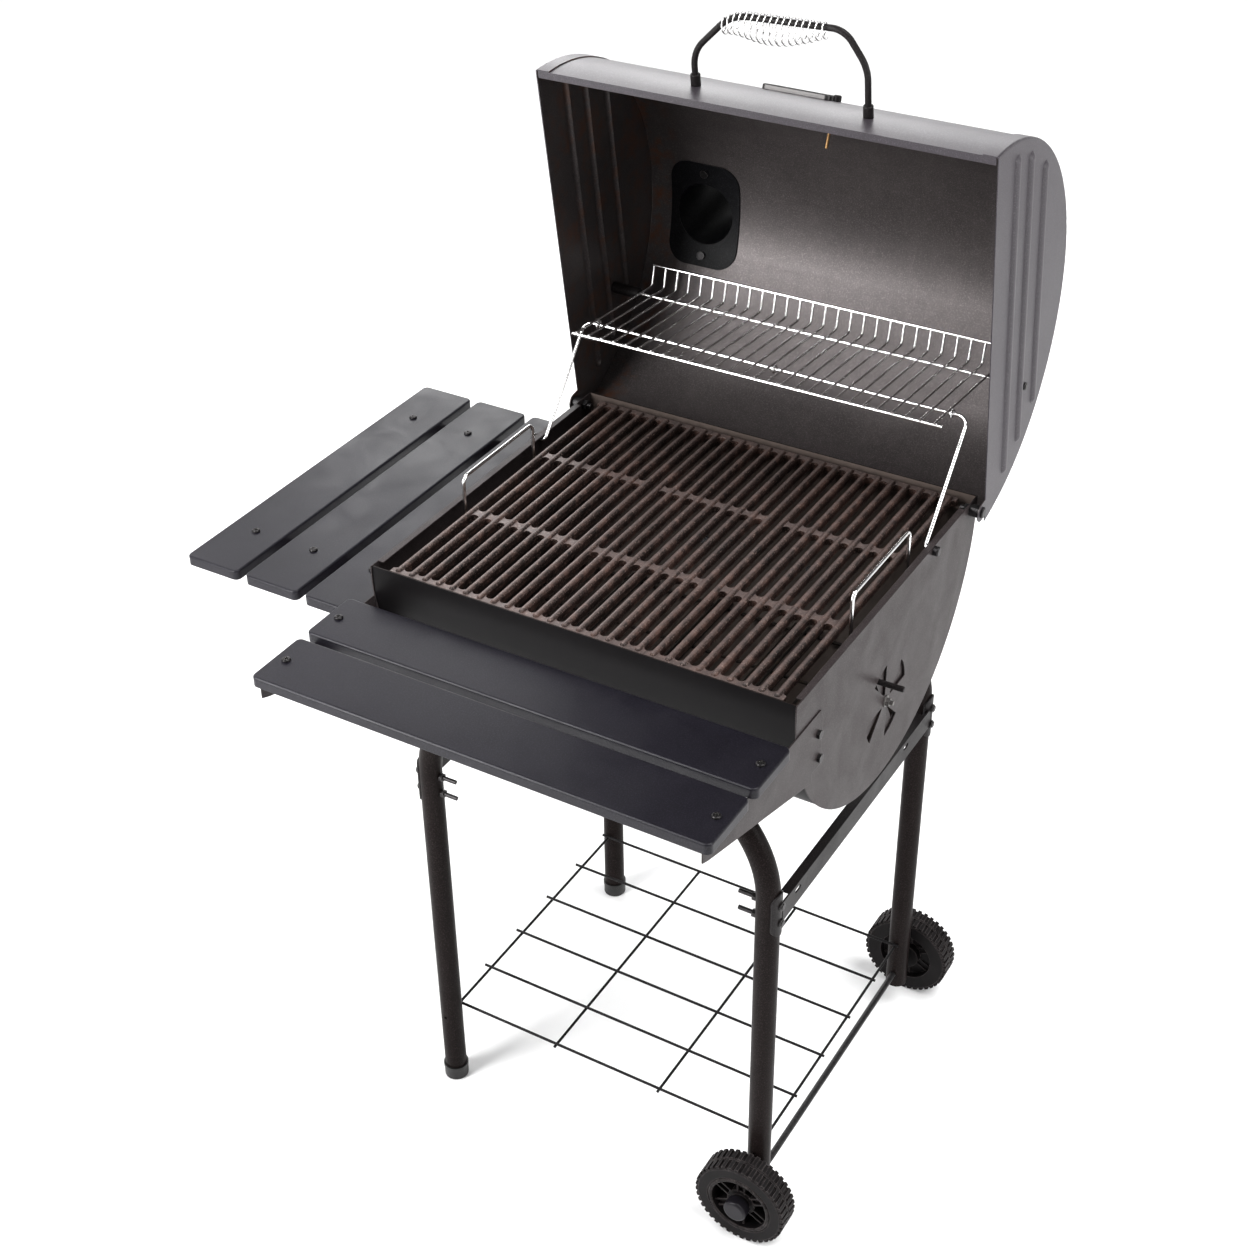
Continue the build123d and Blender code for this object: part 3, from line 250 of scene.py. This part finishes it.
def lid_paint():
    """Lid sheet: charcoal powder coat outside, lighter warm grey with a rust-tinged seam inside."""
    mat = Mat("lid_paint")
    cloud, _, tone = cloudy(mat, 6.0, 70.0)
    coat = (0.054, 0.047, 0.055)
    warm_grey = (0.098, 0.086, 0.085)
    streak = mat.noise(9.0, 5.0, stretch=(14.0, 1.0, 1.0))
    streaked = mat.total((tone, 0.85), (streak, 0.15))
    inside = mat.ramp(streaked, [(0.3, (0.052, 0.045, 0.046)), (0.7, warm_grey)])
    inside = speckled(mat, inside, warm_grey, 1.5)
    outside = mat.ramp(tone, [(0.3, (0.038, 0.033, 0.039)), (0.7, coat)])
    outside = speckled(mat, outside, coat, 1.8)
    is_inside = mat.remap(outward(mat, opened(BARREL_AXIS), True), 1.0, 0.0, -0.12, -0.06)
    color = mat.mix(is_inside, outside, inside)
    # rust bloom down the inside seam at the lid's left end
    from_seam = mat.math("ABSOLUTE", mat.math("SUBTRACT", mat.place()[0], MID_X - SEAM_X))
    seam = mat.remap(from_seam, 1.0, 0.0, 0.0, 0.040)
    patch = mat.remap(mat.noise(30.0, 5.0, 0.7), 0.0, 1.0, 0.48, 0.66)
    rust = mat.math("MULTIPLY", mat.math("MULTIPLY", seam, patch), is_inside)
    color = mat.mix(mat.math("MULTIPLY", rust, 0.85), color, (0.150, 0.058, 0.026))
    rough = mat.math("ADD", mat.remap(cloud, 0.36, 0.44, 0.3, 0.7), mat.math("MULTIPLY", is_inside, -0.02))
    orange_peel(mat, 240.0, 0.0001)
    return mat.finish(color, rough, spec=0.55, metallic=mat.math("MULTIPLY", is_inside, 0.5))


def bowl_paint():
    """Bowl sheet: near-black coat outside, lighter brown-grey inside."""
    mat = Mat("bowl_paint")
    cloud, _, tone = cloudy(mat, 7.0, 70.0)
    outside = mat.ramp(tone, [(0.3, (0.004, 0.0034, 0.0038)), (0.7, (0.007, 0.006, 0.0066))])
    inside = mat.ramp(tone, [(0.3, (0.085, 0.068, 0.060)), (0.7, (0.130, 0.104, 0.092))])
    is_inside = mat.remap(outward(mat, BARREL_AXIS, False), 1.0, 0.0, -0.02, 0.02)
    orange_peel(mat, 240.0, 0.0001)
    return mat.finish(mat.mix(is_inside, outside, inside), mat.remap(cloud, 0.38, 0.50, 0.3, 0.7), spec=0.1)


# ---- metals and plastics ------------------------------------------------------------------------------
def grained(name, scale, dark, light, rough, skin_scale, skin_height, skin_strength=0.5, **surface):
    """One slow noise drives the colour and the roughness, a fine one the skin's bump."""
    mat = Mat(name)
    tone = mat.noise(scale, 4.0)
    mat.bump(mat.noise(skin_scale, 2.0), skin_height, skin_strength)
    return mat.finish(mat.ramp(tone, [(0.3, dark), (0.7, light)]), mat.remap(tone, *rough), **surface)


def chrome():
    dark, light = (0.84, 0.83, 0.82), (0.94, 0.94, 0.94)
    return grained("chrome_wire", 30.0, dark, light, (0.12, 0.24), 900.0, 0.00003, 0.4, metallic=1.0)


def bright_fastener():
    dark, light = (0.10, 0.095, 0.095), (0.22, 0.21, 0.20)
    surface = {"metallic": 0.8, "round_edges": 0.0004}
    return grained("bright_fastener", 180.0, dark, light, (0.34, 0.50), 1400.0, 0.00003, **surface)


def brass():
    dark, light = (0.26, 0.15, 0.07), (0.48, 0.31, 0.15)
    return grained("probe_brass", 90.0, dark, light, (0.34, 0.5), 900.0, 0.00004, metallic=0.9)


def hub_plastic():
    dark, light = (0.008, 0.007, 0.0095), (0.015, 0.013, 0.017)
    surface = {"spec": 0.25, "round_edges": 0.0006}
    return grained("hub_plastic", 40.0, dark, light, (0.30, 0.44), 900.0, 0.00004, **surface)


def cap_plastic():
    dark, light = (0.010, 0.010, 0.010), (0.020, 0.019, 0.019)
    return grained("cap_plastic", 60.0, dark, light, (0.32, 0.48), 1100.0, 0.00006, round_edges=0.0006)


def fastener():
    """Black-oxide steel, rubbed brighter on its edges."""
    mat = Mat("dark_fastener")
    tone = mat.noise(220.0, 4.0)
    color = mat.ramp(tone, [(0.3, (0.022, 0.021, 0.022)), (0.7, (0.048, 0.045, 0.046))])
    color = mat.mix(mat.math("MULTIPLY", mat.edge_wear(0.0006), 0.6), color, (0.30, 0.29, 0.28))
    mat.bump(mat.noise(1500.0, 2.0), 0.00003, 0.5)
    return mat.finish(color, mat.remap(tone, 0.26, 0.42), metallic=0.75, round_edges=0.0004)


def wheel_plastic():
    """Moulded black plastic, paler along its edges: partly dust, partly a painted highlight."""
    mat = Mat("wheel_plastic")
    tone = mat.noise(35.0, 5.0)
    color = mat.ramp(tone, [(0.3, (0.006, 0.005, 0.0054)), (0.7, (0.012, 0.0102, 0.0106))])
    patch = mat.remap(mat.noise(120.0, 4.0), 0.2, 1.0, 0.35, 0.65)
    # pale warm edges: partly dust, partly a painted highlight where the lugs' edges catch light from above
    dust_and_highlight = mat.math("MULTIPLY", mat.edge_wear(0.0022), patch)
    color = mat.mix(mat.math("MULTIPLY", dust_and_highlight, 0.80), color, (0.120, 0.104, 0.102))
    mat.bump(mat.noise(800.0, 2.0), 0.00006, 0.5)
    return mat.finish(color, mat.remap(tone, 0.40, 0.56), spec=0.12, round_edges=0.0007)


def badge_metal():
    """Brushed along X."""
    mat = Mat("badge_metal")
    brush = mat.noise(60.0, 3.0, stretch=(1.0, 40.0, 40.0))
    color = mat.ramp(brush, [(0.3, (0.060, 0.058, 0.058)), (0.7, (0.110, 0.106, 0.105))])
    mat.bump(brush, 0.00003, 0.5)
    return mat.finish(color, mat.remap(brush, 0.28, 0.42), metallic=0.9, round_edges=0.0006)


def coal_wire():
    """Steel wire with soot, mill scale and a little rust."""
    mat = Mat("coal_wire")
    tone = mat.noise(45.0, 6.0)
    soot, scale, rust = (0.016, 0.013, 0.012), (0.035, 0.027, 0.023), (0.075, 0.048, 0.034)
    color = mat.ramp(tone, [(0.3, soot), (0.55, scale), (0.75, rust)])
    mat.bump(mat.noise(500.0, 3.0), 0.00012, 0.7)
    return mat.finish(color, mat.remap(tone, 0.5, 0.8), metallic=0.35)


def cast_iron():
    """Seasoned casting: sandy skin, brown mottling; tops painted paler as a painted highlight, and smoother."""
    mat = Mat("cast_iron")
    mottle = mat.noise(70.0, 5.0, 0.65)
    speck = mat.noise(420.0, 3.0, 0.7)
    tone = mat.total((mat.noise(9.0, 6.0, 0.6), 0.45), (mottle, 0.55))
    pits, skin, rubbed = (0.006, 0.0040, 0.0035), (0.034, 0.0185, 0.0148), (0.122, 0.068, 0.053)
    color = mat.ramp(tone, [(0.38, pits), (0.50, skin), (0.64, rubbed)])
    color = mat.mix(mat.remap(speck, 0.0, 0.75, 0.54, 0.70), color, (0.320, 0.235, 0.205))
    # painted highlight: faces turned upward are mixed towards a pale colour, standing in for light from above
    painted_top_highlight = mat.remap(mat.normal()[2], 0.0, 1.0, 0.80, 0.99)
    color = mat.mix(mat.math("MULTIPLY", painted_top_highlight, 0.45), color, (0.240, 0.195, 0.185))
    rough = mat.math("SUBTRACT", mat.remap(mottle, 0.40, 0.62, 0.35, 0.7), mat.math("MULTIPLY", painted_top_highlight, 0.12))
    mat.bump(speck, 0.00030, 0.8)
    mat.bump(mat.noise(170.0, 4.0), 0.00045, 0.5)
    return mat.finish(color, rough, metallic=0.25, round_edges=0.0009)


MAKERS = {
    "body_paint": body_paint,
    "lid_paint": lid_paint,
    "bowl_paint": bowl_paint,
    "shelf_paint": shelf_paint,
    "tube_paint": tube_paint,
    "black_paint": black_paint,
    "black_wire": wire_paint,
    "flue_paint": flue_paint,
    "coal_wire": coal_wire,
    "grate_iron": cast_iron,
    "chrome_wire": chrome,
    "dark_fastener": fastener,
    "bright_fastener": bright_fastener,
    "wheel_plastic": wheel_plastic,
    "hub_plastic": hub_plastic,
    "cap_plastic": cap_plastic,
    "badge_metal": badge_metal,
    "probe_brass": brass,
}
made = {slot: maker() for slot, maker in MAKERS.items()}
slot_of = {subpart["node"]: subpart["material_slot"] for subpart in frame["record"]["subparts"]}
slot_of["bowl_shell"] = "bowl_paint"
for name, obj in nodes.items():
    obj.data.materials.clear()
    obj.data.materials.append(made[slot_of[name]])


# ---- camera -------------------------------------------------------------------------------------------
AZIMUTH, ELEVATION, ROLL = math.radians(31.12), math.radians(34.58), math.radians(-0.956)
EYE = grill_point(1054.6, -1892.9, 2265.6)
SENSOR, LENS = 36.0, 57.22      # mm
FAR = 50.0                      # m


def make_camera():
    """The photograph's camera, turned by ROLL about its line of sight."""
    ahead = math.cos(ELEVATION)
    sight = Vector((-math.sin(AZIMUTH) * ahead, math.cos(AZIMUTH) * ahead, -math.sin(ELEVATION)))
    level = sight.cross(Vector((0, 0, 1))).normalized()
    above = level.cross(sight)
    right = math.cos(ROLL) * level + math.sin(ROLL) * above
    upward = -math.sin(ROLL) * level + math.cos(ROLL) * above
    data = bpy.data.cameras.new("camera")
    data.sensor_width = SENSOR
    data.lens = LENS
    data.clip_end = FAR
    camera = bpy.data.objects.new("camera", data)
    bpy.context.scene.collection.objects.link(camera)
    camera.matrix_world = Matrix.Translation(EYE) @ Matrix((right, upward, -sight)).transposed().to_4x4()
    bpy.context.scene.camera = camera


make_camera()


# ---- studio -------------------------------------------------------------------------------------------
FLOOR_HALF = 14.0       # m


def floor_material():
    mat = Mat("studio_floor")
    color = mat.ramp(mat.noise(0.6, 3.0), [(0.3, (0.93, 0.93, 0.93)), (0.7, (0.955, 0.955, 0.955))])
    return mat.finish(color, 0.9, spec=0.1)


def make_floor():
    mesh = bpy.data.meshes.new("floor")
    bm = bmesh.new()
    corners = ((-1, -1), (1, -1), (1, 1), (-1, 1))
    bm.faces.new([bm.verts.new((x * FLOOR_HALF, y * FLOOR_HALF, 0.0)) for x, y in corners])
    bm.to_mesh(mesh)
    bm.free()
    floor = bpy.data.objects.new("floor", mesh)
    bpy.context.scene.collection.objects.link(floor)
    mesh.materials.append(floor_material())


def make_backdrop():
    """Pale near the horizon, dimmer overhead."""
    world = bpy.data.worlds.new("studio")
    bpy.context.scene.world = world
    world.use_nodes = True
    tree = world.node_tree
    sky = tree.nodes["Background"]
    sky.inputs["Color"].default_value = (1.0, 1.0, 1.0, 1.0)
    place = tree.nodes.new("ShaderNodeTexCoord")
    split = tree.nodes.new("ShaderNodeSeparateXYZ")
    fall = tree.nodes.new("ShaderNodeMapRange")
    for key, value in {"From Min": 0.18, "From Max": 0.45, "To Min": 1.0, "To Max": 0.20}.items():
        fall.inputs[key].default_value = value
    tree.links.new(place.outputs["Generated"], split.inputs[0])
    tree.links.new(split.outputs["Z"], fall.inputs["Value"])
    tree.links.new(fall.outputs["Result"], sky.inputs["Strength"])


def add_light(name, kind, energy):
    data = bpy.data.lights.new(name, kind)
    data.energy = energy
    light = bpy.data.objects.new(name, data)
    bpy.context.scene.collection.objects.link(light)
    return light


def sun(name, toward, strength, spread):
    """Light that comes from the direction `toward`."""
    light = add_light(name, "SUN", strength)
    light.data.angle = spread
    light.rotation_euler = Vector(toward).to_track_quat("Z", "Y").to_euler()


def area(name, place, target, size, power, size_y=None):
    """A rectangular lamp that faces its target."""
    light = add_light(name, "AREA", power)
    light.data.shape = "RECTANGLE"
    light.data.size = size
    light.data.size_y = size_y or size
    light.location = place
    light.rotation_euler = (Vector(target) - Vector(place)).to_track_quat("-Z", "Y").to_euler()


make_floor()
bpy.context.scene.view_settings.view_transform = "Standard"
bpy.context.scene.view_settings.gamma = 0.9
make_backdrop()
sun("overhead_sun", (0.40, 0.10, 0.90), 2.6, 0.7)
area("left_sheen", (-2.7, 0.7, 2.5), (-0.2, -0.3, 0.9), 1.3, 30)
area("back_sheen", (-1.6, 3.0, 2.5), (-0.1, 0.1, 1.2), 2.6, 52, size_y=1.2)
area("right_side", (3.0, 0.3, 1.5), (0.3, 0.1, 1.0), 1.5, 26)
area("lid_band", (-1.05, -2.0, 1.7), (0.0, 0.4, 1.1), 0.8, 60, size_y=1.8)
area("lid_low", (-0.9, -1.5, 3.2), (0.0, 0.42, 1.0), 0.9, 36)
